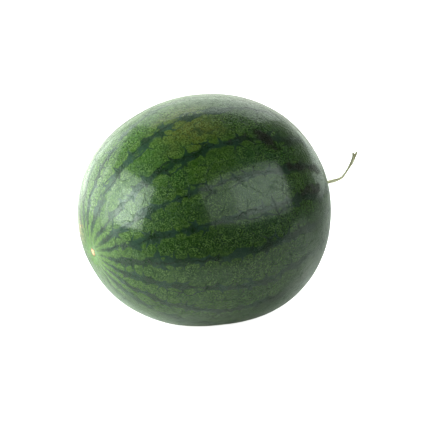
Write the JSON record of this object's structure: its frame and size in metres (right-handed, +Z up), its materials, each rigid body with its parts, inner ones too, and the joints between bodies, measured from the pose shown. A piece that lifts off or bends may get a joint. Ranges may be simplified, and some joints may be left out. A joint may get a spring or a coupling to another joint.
{
  "type": "watermelon",
  "caption": "Whole round-oval striped watermelon lying on its side on a small flat spot, with a thin dried stem curling up from its stem end.",
  "frame": {"origin": "on the flat spot that the fruit rests on, straight below the fruit's centre", "axes": "+Z up, +X towards the stem end, -X towards the blossom end, +Y to the fruit's side"},
  "size_m": [0.2943, 0.2352, 0.2243],
  "materials": {
    "rind": null,
    "dry_stem": null
  },
  "bodies": {
    "root": {"fruit": "rind", "stem": "dry_stem"}
  },
  "joints": []
}
